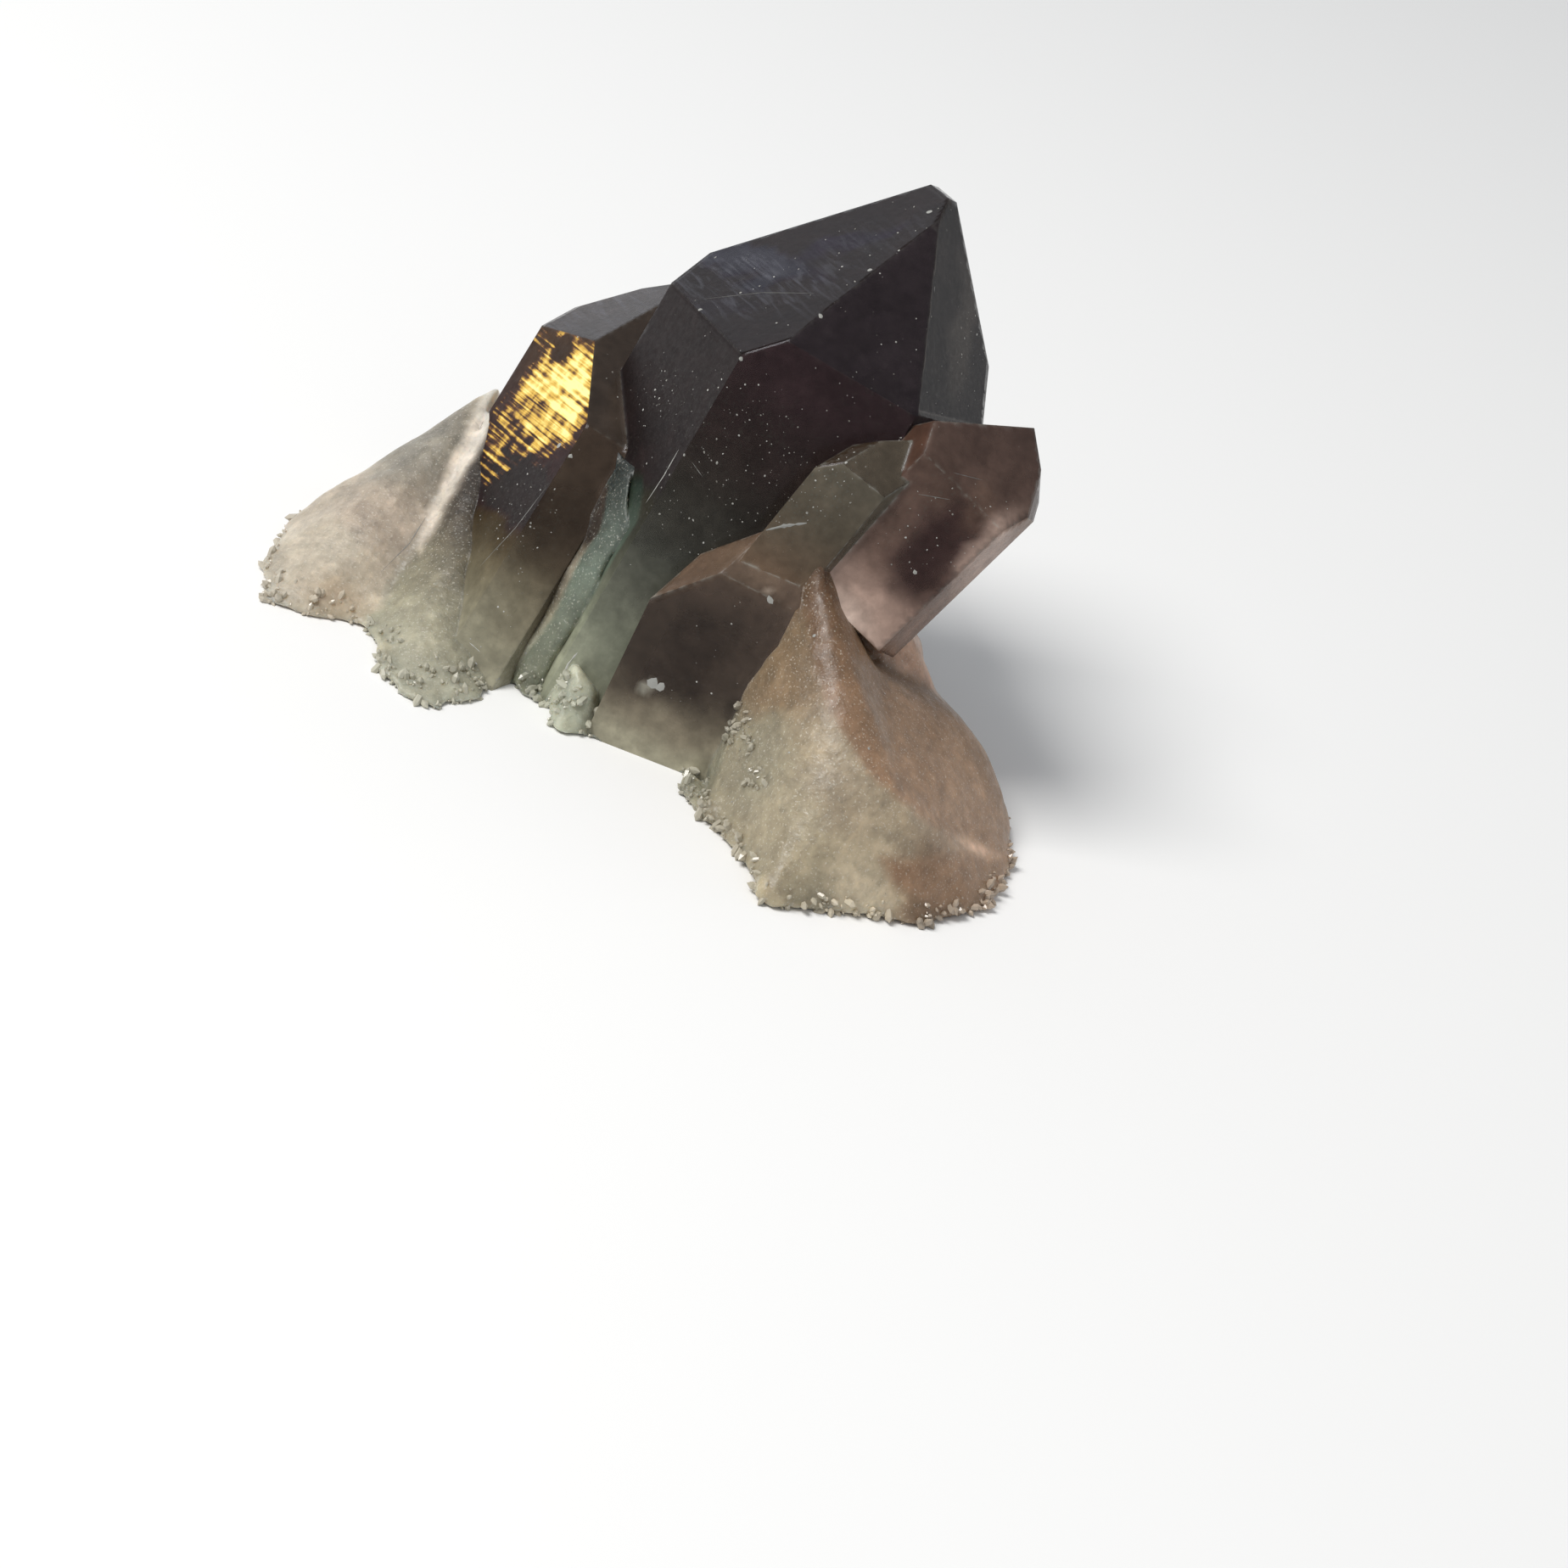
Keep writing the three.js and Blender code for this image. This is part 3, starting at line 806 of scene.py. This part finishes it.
def milky_surface(tree, shader, attribute, place, colour):
    """The root's speckled and layered colour, its relief and its roughness. Light sinks into it."""
    specks = ramp_node(tree, noise_node(tree, place, 3.2, 2), 0.6, 0.7, 0, 0.38)
    colour = mix_node(tree, specks, colour, MILK_SPECK)
    pits = ramp_node(tree, noise_node(tree, place, 1.5, 5, 0.3), 0.56, 0.75, 1, 0.8)
    layers_at = stretched(tree, attribute["streak"]["Vector"], (1, 0.12, 1))
    layers = ramp_node(tree, noise_node(tree, layers_at, 0.9, 5, 0.8), 0.35, 0.65, 0.95, 1.05)
    colour = scaled(tree, colour, product(tree, pits, layers))
    shader.inputs["Subsurface Weight"].default_value = MILK_SHARE
    shader.inputs["Subsurface Radius"].default_value = MILK_REACH
    shader.inputs["Subsurface Scale"].default_value = MILK_DEPTH * MM
    fine = product(tree, noise_node(tree, place, 2.4, 4), 0.24)
    height = math_node(tree, "ADD", noise_node(tree, place, 0.45, 3, 0.4), fine)
    rough = ramp_node(tree, noise_node(tree, place, 0.8, 4), 0.35, 0.7, 0.34, 0.52)
    return colour, height, rough


def grained_colour(tree, attribute, place, colour):
    """The crystals' colour with pale grains where dust lies, and pale edges that are partly chips and
    partly a painted highlight.
    """
    dusty = product(tree, math_node(tree, "ADD", attribute["dust"]["Fac"], 0.12), 0.55)
    grains = ramp_node(tree, noise_node(tree, place, 2.6, 5), 0.55, 0.68)
    colour = mix_node(tree, product(tree, grains, dusty), colour, GRAIN_COLOUR)
    chipped = ramp_node(tree, noise_node(tree, place, 0.9, 5), 0.4, 0.62)
    edge = math_node(tree, "POWER", attribute["worn_and_highlighted"]["Fac"], 4)
    return mix_node(tree, product(tree, edge, chipped), colour, EDGE_WEAR_AND_HIGHLIGHT_COLOUR)


def smoky_surface(tree, shader, attribute, place, colour):
    """The crystals' colour with the painted gold flash in it, a painted reflection that also glows, the
    fine relief of their growth lines, their roughness, and how much of their clearness the painted flash
    leaves."""
    gold, painted_flash = painted_gold_flash(tree, attribute, place)
    colour = mix_node(tree, painted_flash, grained_colour(tree, attribute, place, colour), gold)
    # The painted flash glows a little, though it is no lamp
    tree.links.new(product(tree, painted_flash, PAINTED_FLASH_GLOW), shader.inputs["Emission Strength"])
    tree.links.new(gold, shader.inputs["Emission Color"])
    shader.inputs["Specular Tint"].default_value = QUARTZ_SHINE_TINT
    lines_at = add(tree, "ShaderNodeCombineXYZ", {"X": attribute["along"]["Fac"]}).outputs[0]
    growth_lines = product(tree, noise_node(tree, lines_at, 1.3, 8), 0.3)
    height = math_node(tree, "ADD", growth_lines, noise_node(tree, place, 0.9, 6))
    spots = ramp_node(tree, noise_node(tree, place, 1.2, 4), 0.35, 0.7, -0.06, 0.1)
    rough = math_node(tree, "ADD", ramp_node(tree, attribute["clear"]["Fac"], 0, 1, 0.24, 0.1), spots)
    frosted = product(tree, attribute["frosted"]["Fac"], 0.38)
    rough = math_node(tree, "ADD", rough, frosted)
    return colour, height, rough, math_node(tree, "SUBTRACT", 1.0, painted_flash)


def quartz_material(name, milky):
    """Smoky crystal, or the milky quartz of the root."""
    material, tree, shader = new_material(name)
    attribute = {
        label: add(tree, "ShaderNodeAttribute", attribute_name=label).outputs for label in PAINTED
    }
    place = scaled(tree, add(tree, "ShaderNodeTexCoord").outputs["Object"], 1 / MM)
    colour = shaded_colour(tree, attribute, place)
    see_through = product(tree, attribute["clear"]["Fac"], MOST_CLEAR)
    if milky:
        colour, height, rough = milky_surface(tree, shader, attribute, place, colour)
        relief = MILKY_RELIEF
    else:
        colour, height, rough, left = smoky_surface(tree, shader, attribute, place, colour)
        see_through = product(tree, see_through, left)
        relief = SMOKY_RELIEF
    bump = add(tree, "ShaderNodeBump", {"Height": height, "Distance": relief * MM, "Strength": 0.5})
    tree.links.new(colour, shader.inputs["Base Color"])
    tree.links.new(see_through, shader.inputs["Transmission Weight"])
    tree.links.new(math_node(tree, "MAXIMUM", rough, SMOOTHEST), shader.inputs["Roughness"])
    tree.links.new(bump.outputs["Normal"], shader.inputs["Normal"])
    shader.inputs["IOR"].default_value = QUARTZ_IOR
    shader.inputs["Specular IOR Level"].default_value = QUARTZ_SHINE
    smoke = add(tree, "ShaderNodeVolumeAbsorption", {"Color": SMOKE_TINT, "Density": SMOKE_DENSITY})
    tree.links.new(smoke.outputs["Volume"], tree.nodes["Material Output"].inputs["Volume"])
    return material


mesh_data.materials.append(quartz_material("smoky quartz", False))
mesh_data.materials.append(quartz_material("milky quartz", True))
mesh_data.polygons.foreach_set("material_index", [0 if name else 1 for name, _ in face_names])
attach(cluster, "root")
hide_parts("smoky_quartz_cluster")

# Druse: tiny quartz points of the same milky quartz, grown all along the root's broken rim, in
# patches on it and in the seam. They are made by Geometry Nodes and joined into one mesh.
DRUSE_PER_SQUARE_MM = 2.0
DRUSE_SMALLEST = 0.5
DRUSE_LARGEST = 2.0
RIM_HEIGHT = 2.4
# Patches of druse away from the rim: places right and up in the picture and their radius
DRUSE_PATCHES = [
    ((-6, 7.5), 2.6), ((-4.5, 1), 1.8), ((-30.5, 13), 2.6), ((-36.5, 14), 1.6), ((-7.5, 12), 1.5),
]
DRUSE_MILK = (0.6, 0.58, 0.5, 1)


class Tree:
    """A Geometry Nodes tree under construction, with named inputs."""

    def __init__(self, name, inputs):
        self.group = bpy.data.node_groups.new(name, "GeometryNodeTree")
        face = self.group.interface
        face.new_socket("Geometry", in_out="INPUT", socket_type="NodeSocketGeometry")
        face.new_socket("Geometry", in_out="OUTPUT", socket_type="NodeSocketGeometry")
        self.keys = {}
        for label, kind in inputs.items():
            socket = face.new_socket(label, in_out="INPUT", socket_type="NodeSocket" + kind)
            self.keys[label] = socket.identifier
        self.entry = self.group.nodes.new("NodeGroupInput").outputs

    def node(self, kind, inputs=None, **settings):
        return add(self.group, "GeometryNode" + kind, inputs, **settings)

    def chance(self, low, high, seed, data_type="FLOAT"):
        """A random value field between low and high."""
        made = add(self.group, "FunctionNodeRandomValue", data_type=data_type)
        vector = data_type == "FLOAT_VECTOR"
        first, second, result = (0, 1, 0) if vector else (2, 3, 1)
        made.inputs[first].default_value = low
        made.inputs[second].default_value = high
        made.inputs["Seed"].default_value = seed
        return made.outputs[result]

    def scatter(self, share_name, seed):
        """Points on the faces, as dense as a share kept in the mesh and the Density input say."""
        share = self.node("InputNamedAttribute", {"Name": share_name}, data_type="FLOAT").outputs[0]
        amount = product(self.group, share, self.entry["Density"])
        return self.node("DistributePointsOnFaces", {
            "Mesh": self.entry["Geometry"], "Density": amount, "Seed": seed,
        })

    def size(self, seed, rarity):
        """A random size between the Smallest and Largest inputs, with the large ones rare."""
        share = math_node(self.group, "POWER", self.chance(0.0, 1.0, seed), rarity)
        return add(self.group, "ShaderNodeMapRange", {
            "Value": share, "To Min": self.entry["Smallest"], "To Max": self.entry["Largest"],
        }).outputs["Result"]

    def place(self, spots, instance, turn, scale):
        """A copy of the instance on each spot, turned about it by that much."""
        turned = add(self.group, "FunctionNodeRotateRotation", {
            "Rotation": spots.outputs["Rotation"], "Rotate By": turn,
        }, rotation_space="LOCAL")
        return self.node("InstanceOnPoints", {
            "Points": spots.outputs["Points"], "Instance": instance,
            "Rotation": turned.outputs[0], "Scale": scale,
        }).outputs[0]

    def close(self, geometry, material):
        realized = self.node("RealizeInstances", {"Geometry": geometry})
        painted = self.node("SetMaterial", {"Geometry": realized.outputs[0], "Material": material})
        self.group.links.new(painted.outputs[0], self.group.nodes.new("NodeGroupOutput").inputs[0])

    def run(self, name, mesh, values):
        """The tree's result on a copy of a mesh, as a plain mesh object."""
        carrier = bpy.data.objects.new(name + "_carrier", mesh.copy())
        bpy.context.collection.objects.link(carrier)
        modifier = carrier.modifiers.new(name, "NODES")
        modifier.node_group = self.group
        for label, value in values.items():
            modifier[self.keys[label]] = value
        evaluated = carrier.evaluated_get(bpy.context.evaluated_depsgraph_get())
        made = bpy.data.meshes.new_from_object(evaluated)
        made.name = name
        piece = bpy.data.objects.new(name, made)
        bpy.context.collection.objects.link(piece)
        bpy.data.objects.remove(carrier)
        return piece


def vertex_share(mesh, name, values):
    mesh.attributes.new(name, "FLOAT", "POINT").data.foreach_set("value", values)


def root_vertices(mesh, face_names):
    """1 for each vertex that no flat face touches, and 0 for the others."""
    free = np.ones(len(mesh.vertices))
    for polygon, (name, _) in zip(mesh.polygons, face_names):
        if name:
            free[list(polygon.vertices)] = 0
    return free


def mark_druse(mesh, face_names):
    """Where druse grows: along the rim above the cut and in a few patches."""
    places = vertex_places(mesh)
    views = seen(places)
    spots = in_picture(views)
    height = places[:, 2]
    patchy = np.array([noise.noise(Vector(place / 3.5)) for place in places])
    front = np.where(views[:, 2] > 5, 1, 0.4)
    share = front * np.clip(1.3 - height / RIM_HEIGHT, 0, 1) * np.clip(0.6 + 1.5 * patchy, 0, 1)
    for middle, radius in DRUSE_PATCHES:
        far = np.linalg.norm(spots - np.array(middle), axis=1) / radius
        share = np.maximum(share, front * np.clip(1.3 - far, 0, 1) * 0.7)
    share *= root_vertices(mesh, face_names) * (height > 0.15)
    vertex_share(mesh, "druse", share)


def druse_tree(material):
    """Six-sided prisms with pointed tips, leaning this way and that."""
    tree = Tree("druse", {"Density": "Float", "Smallest": "Float", "Largest": "Float"})
    prism = tree.node("MeshCylinder", {"Vertices": 6, "Radius": 0.3 * MM, "Depth": 0.7 * MM})
    tip = tree.node("MeshCone", {
        "Vertices": 6, "Radius Top": 0.0, "Radius Bottom": 0.3 * MM, "Depth": 0.4 * MM,
    }, fill_type="NONE")
    tip_up = tree.node("Transform", {"Geometry": tip.outputs["Mesh"], "Translation": (0, 0, 0.35 * MM)})
    point = tree.node("JoinGeometry")
    tree.group.links.new(prism.outputs["Mesh"], point.inputs[0])
    tree.group.links.new(tip_up.outputs[0], point.inputs[0])
    lean = tree.chance((-0.9, -0.9, 0), (0.9, 0.9, 6.28), 8, "FLOAT_VECTOR")
    grown = tree.place(tree.scatter("druse", 4), point.outputs[0], lean, tree.size(5, 2.2))
    tree.close(grown, material)
    return tree


def stand_on_floor(mesh):
    """Lifts what would reach through the floor up to it."""
    places = vertex_places(mesh)
    places[:, 2] = np.maximum(places[:, 2], 0)
    mesh.vertices.foreach_set("co", (places * MM).ravel())


def finish_piece(piece):
    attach(piece, "root")


def druse_material():
    """Milky quartz of the colour of the root that each point grows on, and glossier."""
    material, tree, shader = new_material("milky druse")
    colour = add(tree, "ShaderNodeAttribute", attribute_name="quartz_colour").outputs["Color"]
    tree.links.new(mix_node(tree, 0.35, colour, DRUSE_MILK), shader.inputs["Base Color"])
    shader.inputs["Roughness"].default_value = 0.15
    shader.inputs["IOR"].default_value = QUARTZ_IOR
    return material


mark_druse(mesh_data, face_names)
druse_piece = druse_tree(druse_material()).run("rim_druse", mesh_data, {
    "Density": DRUSE_PER_SQUARE_MM / MM ** 2, "Smallest": DRUSE_SMALLEST, "Largest": DRUSE_LARGEST,
})
stand_on_floor(druse_piece.data)
finish_piece(druse_piece)

# Dust: pale specks that stick to the big crystals' faces, thick on the front faces and thin
# elsewhere, each a flattened grain a tenth or two of a millimetre across.
DUST_PER_SQUARE_MM = 0.7
THINNEST_DUST = 0.015
SPECK_RADIUS = 0.09
SPECK_SMALLEST = 0.55
SPECK_LARGEST = 1.9
DARK_DUST = (0.16, 0.15, 0.13, 1)
PALE_DUST = (0.5, 0.5, 0.47, 1)
# Where dust is thick: crystal, middle, half-sizes, turn, share
DUST_CLOUDS = [
    ("main", (-6, 46), (16, 15), -30, 0.5),
    ("main", (-4, 50), (9, 6), 20, 0.6),
    ("main", (-12, 36), (13, 6), -25, 0.6),
    ("main", (15, 52), (12, 4), -35, 0.4),
    ("main", (-17, 55), (5, 6), 20, 0.5),
    ("main", (4, 40), (10, 6), 30, 0.6),
    ("main", (5, 50), (30, 22), 20, 0.12),
    ("main", (27, 62), (3, 14), -8, 0.4),
    ("main", (8, 75), (24, 8), 18, 0.12),
    ("dusty", (4, 42), (11, 7), 40, 1.0),
    ("gilt", (-37, 38), (10, 8), 30, 0.5),
    ("gilt", (-38, 22), (14, 12), 30, 0.22),
    ("right", (22, 37), (12, 9), 40, 0.3),
    ("front", (-12, 18), (12, 12), 40, 0.12),
]


def mark_dust(mesh, face_names):
    """Where dust lies: in clouds on the crystals' faces, and thinly on all that faces the eye."""
    views = seen(vertex_places(mesh))
    spots = in_picture(views)
    share = THINNEST_DUST * (views[:, 2] > -10)
    owners = {name: np.zeros(len(mesh.vertices), dtype=bool) for name in CRYSTALS}
    for polygon, (name, _) in zip(mesh.polygons, face_names):
        if name:
            owners[name][list(polygon.vertices)] = True
    for name, middle, sizes, turn, amount in DUST_CLOUDS:
        cloud = amount * in_ellipse(middle, sizes, turn, spots) * owners[name]
        share = np.maximum(share, cloud)
    vertex_share(mesh, "dust", share)


def dust_tree(material):
    """Flattened grains, each stretched and turned its own way."""
    tree = Tree("dust", {
        "Density": "Float", "Radius": "Float", "Smallest": "Float", "Largest": "Float",
    })
    speck = tree.node("MeshIcoSphere", {"Radius": tree.entry["Radius"], "Subdivisions": 1})
    flat = tree.node("Transform", {"Geometry": speck.outputs["Mesh"], "Scale": (1, 1, 0.35)})
    stretch = tree.chance((0.5, 0.8, 0.8), (1.7, 1.2, 1.2), 3, "FLOAT_VECTOR")
    scale = scaled(tree.group, stretch, tree.size(2, 3.0))
    turn = tree.chance((0, 0, 0), (0, 0, 6.28), 6, "FLOAT_VECTOR")
    laid = tree.place(tree.scatter("dust", 9), flat.outputs[0], turn, scale)
    tree.close(laid, material)
    return tree


def dust_material():
    material, tree, shader = new_material("quartz dust")
    place = add(tree, "ShaderNodeTexCoord").outputs["Object"]
    shade = noise_node(tree, place, 900, 1)
    tone = mix_node(tree, ramp_node(tree, shade, 0.35, 0.65), DARK_DUST, PALE_DUST)
    tree.links.new(tone, shader.inputs["Base Color"])
    shader.inputs["Roughness"].default_value = 0.6
    return material


mark_dust(mesh_data, face_names)
dust_piece = dust_tree(dust_material()).run("surface_dust", mesh_data, {
    "Density": DUST_PER_SQUARE_MM / MM ** 2, "Radius": SPECK_RADIUS * MM,
    "Smallest": SPECK_SMALLEST, "Largest": SPECK_LARGEST,
})
stand_on_floor(dust_piece.data)
finish_piece(dust_piece)

# Scratches and flakes: thin raised lines and chips of crushed white quartz on the faces, laid
# where the eye sees them in the picture and parted wherever the surface under them ends.
# Each scratch: the spots of the picture that it runs through, its width in millimetres and how
# white it is, from 0 to 1
SCRATCHES = [
    ([(-3.4, 35.7), (0, 36.5), (3.2, 36.9)], 0.6, 0.3),
    ([(-14.9, 47.3), (-17, 43.6), (-19.5, 39.8)], 0.2, 0.7),
    ([(-33.6, 42), (-38, 36.2), (-43, 30.8)], 0.2, 0.15),
    ([(-44.5, 20), (-43, 18.7)], 0.2, 0.9),
    ([(-11.3, 68.6), (-3, 69.5), (4.3, 69.4)], 0.12, 0.08),
    ([(-13, 45.5), (-11.5, 43.4)], 0.1, 0.3),
    ([(-32, 13.5), (-30.5, 17), (-29.2, 18.6)], 0.4, 0.8),
    ([(-57, 30), (-53, 34), (-50.5, 38)], 0.18, 0.35),
    ([(19, 41), (23.5, 40.2)], 0.12, 0.12),
    ([(24, 44), (28, 43)], 0.12, 0.12),
]
# Each flake's spot in the picture and its radius in millimetres, and how white the flakes are
FLAKES = [
    ((12.1, 72.7), 0.5), ((5.2, 66.2), 0.45), ((20.5, 80.9), 0.6), ((-6.1, 60.1), 0.4),
    ((-11.9, 67.1), 0.45), ((-18.6, 14.3), 1.0), ((-17.4, 13.8), 0.8), ((-2.0, 26), 0.7),
    ((4.3, 21), 0.35), ((12, 5), 0.3), ((-36.5, 18.5), 0.25), ((-31.8, 47.9), 0.6),
    ((-30.2, 46.4), 0.4), ((18.5, 30), 0.4), ((10.5, 21.5), 0.35),
]
FLAKE_WHITENESS = 0.45
FLAKE_CORNERS = 7
RIDGE_HEIGHT = 0.05
# Spots of the picture this many times further apart on the cluster lie on two different surfaces
LONGEST_STEP = 3.2


def on_surface(tree, spot):
    """Where the eye sees a spot of the picture on the cluster, and the surface's direction there."""
    start = in_frame([0, 0, EYE_DISTANCE])
    end = in_frame([spot[0], spot[1], 0])
    place, normal, _, _ = tree.ray_cast(Vector(start * MM), Vector(end - start).normalized())
    return place, normal


def runs_on_surface(tree, spots):
    """A line's places on the cluster, parted wherever it would leave one surface for another."""
    ends = [np.array(spot) for spot in spots]
    samples = [ends[0]]
    for start, end in zip(ends, ends[1:]):
        samples += [start + (end - start) * share for share in np.linspace(0, 1, 9)[1:]]
    longest = LONGEST_STEP * np.linalg.norm(samples[1] - samples[0]) * MM
    runs = [[]]
    for sample in samples:
        place, normal = on_surface(tree, sample)
        if place is None:
            continue
        if runs[-1] and (place - runs[-1][-1][0]).length > longest:
            runs.append([])
        runs[-1].append((place, normal))
    return [run for run in runs if len(run) > 2]


def ridge(run, width):
    """The corners and faces of a thin ridge, pointed at both ends, along places on the surface."""
    corners, faces = [], []
    for i, (place, normal) in enumerate(run):
        ahead = run[min(i + 1, len(run) - 1)][0] - run[max(i - 1, 0)][0]
        side = ahead.cross(normal).normalized()
        taper = min(1, 0.25 + 3 * min(i, len(run) - 1 - i) / len(run))
        half = 0.5 * width * taper * (0.7 + 0.6 * noise.noise(place / MM * 2)) * MM
        top = place + normal * RIDGE_HEIGHT * MM * taper
        corners += [place + side * half, top, place - side * half]
        if i:
            base = 3 * i
            faces += [(base - 3, base, base + 1, base - 2), (base - 2, base + 1, base + 2, base - 1)]
    return corners, faces


def flake(tree, spot, radius):
    """The corners and faces of an irregular flat flake on the surface."""
    place, normal = on_surface(tree, spot)
    across = normal.orthogonal().normalized()
    up = normal.cross(across)
    corners = [place + normal * RIDGE_HEIGHT * MM]
    for i in range(FLAKE_CORNERS):
        turn = 2 * math.pi * i / FLAKE_CORNERS
        chance = abs(noise.noise(Vector((i * 1.7, spot[0], spot[1]))))
        reach = radius * (0.55 + 0.9 * chance) * MM
        corners.append(place + reach * (math.cos(turn) * across + math.sin(turn) * up))
    return corners, [(0, 1 + i, 1 + (i + 1) % FLAKE_CORNERS) for i in range(FLAKE_CORNERS)]


def crushed_quartz():
    """White crushed quartz, as pale as the mark is deep."""
    material, tree, shader = new_material("crushed quartz")
    whiteness = add(tree, "ShaderNodeAttribute", attribute_name="whiteness").outputs["Fac"]
    tone = mix_node(tree, whiteness, (0.1, 0.1, 0.093, 1), (0.6, 0.6, 0.56, 1))
    tree.links.new(tone, shader.inputs["Base Color"])
    shader.inputs["Roughness"].default_value = 0.5
    return material


def surface_marks(tree):
    """All scratches and flakes as one mesh, each corner knowing how white it is."""
    shapes = [
        (*ridge(run, width), whiteness)
        for spots, width, whiteness in SCRATCHES for run in runs_on_surface(tree, spots)
    ]
    shapes += [(*flake(tree, spot, radius), FLAKE_WHITENESS) for spot, radius in FLAKES]
    corners, faces, shades = [], [], []
    for shape_corners, shape_faces, whiteness in shapes:
        faces += [tuple(len(corners) + i for i in face) for face in shape_faces]
        corners += shape_corners
        shades += [whiteness] * len(shape_corners)
    mesh = bpy.data.meshes.new("surface_marks")
    mesh.from_pydata(corners, [], faces)
    vertex_share(mesh, "whiteness", shades)
    mesh.materials.append(crushed_quartz())
    return bpy.data.objects.new("surface_marks", mesh)


marks_piece = surface_marks(BVHTree.FromPolygons(
    [v.co.copy() for v in mesh_data.vertices],
    [tuple(p.vertices) for p in mesh_data.polygons],
))
bpy.context.collection.objects.link(marks_piece)
finish_piece(marks_piece)
